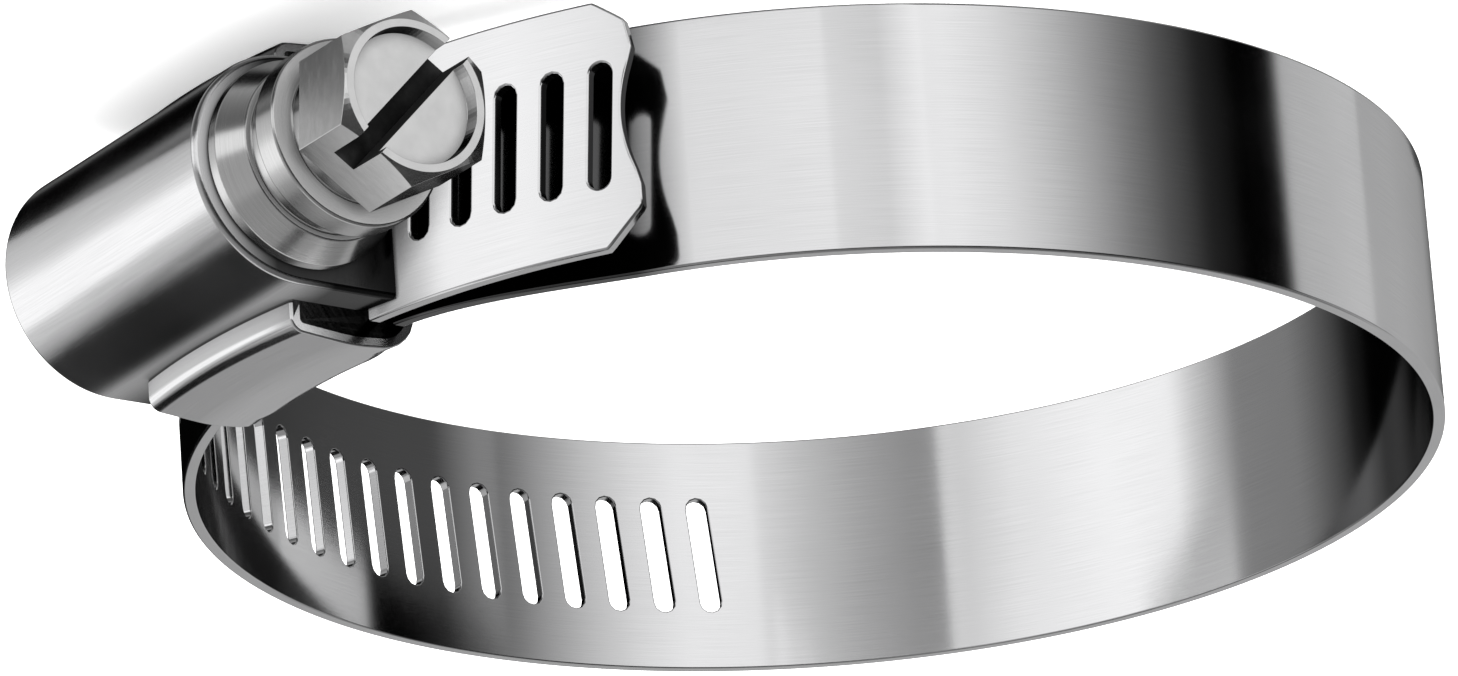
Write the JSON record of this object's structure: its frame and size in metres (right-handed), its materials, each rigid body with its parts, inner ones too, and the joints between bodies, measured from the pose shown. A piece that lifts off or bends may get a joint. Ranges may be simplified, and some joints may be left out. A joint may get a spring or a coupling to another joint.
{
  "type": "hose clamp",
  "caption": "Worm-drive hose clamp: slotted stainless band closed into a loop through a screw housing, with a saddle and a slotted hex-head worm screw.",
  "frame": {"origin": "centre of the hose bore, half way across the band", "axes": "+Z along the bore's axis; the housing stands on the -Y side; the screw lies along X with its head towards -X"},
  "size_m": [0.0632, 0.0755, 0.0156],
  "materials": {
    "band_steel": "bright rolled strip with a faint lengthwise grain",
    "housing_steel": "bright pressed sheet",
    "screw_steel": "cold-formed and turned, bright"
  },
  "bodies": {
    "housing": {"housing": "housing_steel", "saddle": "housing_steel", "band_fixed_end": "band_steel"},
    "screw": {"screw": "screw_steel"},
    "band_free_end": {"band_free_end": "band_steel"},
    "band_span_1": {"band_span_1": "band_steel"},
    "band_span_2": {"band_span_2": "band_steel"},
    "band_span_3": {"band_span_3": "band_steel"},
    "band_span_4": {"band_span_4": "band_steel"},
    "band_span_8": {"band_span_8": "band_steel"},
    "band_span_7": {"band_span_7": "band_steel"},
    "band_span_6": {"band_span_6": "band_steel"},
    "band_span_5": {"band_span_5": "band_steel"}
  },
  "joints": [
    {"name": "screw_turn", "type": "hinge", "parent": "housing", "child": "screw", "pos_m": [0, -0.038, 0], "axis": [1, 0, 0], "range_deg": [-1080, 1080]},
    {"name": "free_end_travel", "type": "hinge", "parent": "housing", "child": "band_free_end", "pos_m": [-0.00282, 0.00104, 0], "axis": [0, 0, 1], "range_deg": [-12.7, 12.7]},
    {"name": "band_flex_1", "type": "hinge", "parent": "housing", "child": "band_span_1", "pos_m": [-0.02014, -0.024, 0], "axis": [0, 0, 1], "range_deg": [-1.91, 1.91]},
    {"name": "band_flex_2", "type": "hinge", "parent": "band_span_1", "child": "band_span_2", "pos_m": [-0.02968, -0.01, 0], "axis": [0, 0, 1], "range_deg": [-1.92, 1.92]},
    {"name": "band_flex_3", "type": "hinge", "parent": "band_span_2", "child": "band_span_3", "pos_m": [-0.03055, 0.00691, 0], "axis": [0, 0, 1], "range_deg": [-1.76, 1.76]},
    {"name": "band_flex_4", "type": "hinge", "parent": "band_span_3", "child": "band_span_4", "pos_m": [-0.02249, 0.02181, 0], "axis": [0, 0, 1], "range_deg": [-1.39, 1.39]},
    {"name": "band_flex_8", "type": "hinge", "parent": "band_free_end", "child": "band_span_8", "pos_m": [0.0294, -0.01081, 0], "axis": [0, 0, 1], "range_deg": [-2.29, 2.29]},
    {"name": "band_flex_7", "type": "hinge", "parent": "band_span_8", "child": "band_span_7", "pos_m": [0.0306, 0.00669, 0], "axis": [0, 0, 1], "range_deg": [-1.46, 1.46]},
    {"name": "band_flex_6", "type": "hinge", "parent": "band_span_7", "child": "band_span_6", "pos_m": [0.02289, 0.02138, 0], "axis": [0, 0, 1], "range_deg": [-1.04, 1.04]},
    {"name": "band_flex_5", "type": "hinge", "parent": "band_span_6", "child": "band_span_5", "pos_m": [0.00875, 0.03008, 0], "axis": [0, 0, 1], "range_deg": [-1, 1]}
  ],
  "couplings": [
    {"joint": "free_end_travel", "follows": "screw_turn", "ratio": -0.011752},
    {"joint": "band_flex_1", "follows": "screw_turn", "ratio": -0.0017616},
    {"joint": "band_flex_2", "follows": "screw_turn", "ratio": -0.001771},
    {"joint": "band_flex_3", "follows": "screw_turn", "ratio": -0.0016252},
    {"joint": "band_flex_4", "follows": "screw_turn", "ratio": -0.0012739},
    {"joint": "band_flex_8", "follows": "screw_turn", "ratio": 0.0021106},
    {"joint": "band_flex_7", "follows": "screw_turn", "ratio": 0.0013408},
    {"joint": "band_flex_6", "follows": "screw_turn", "ratio": 0.0009554},
    {"joint": "band_flex_5", "follows": "screw_turn", "ratio": 0.0009131}
  ]
}
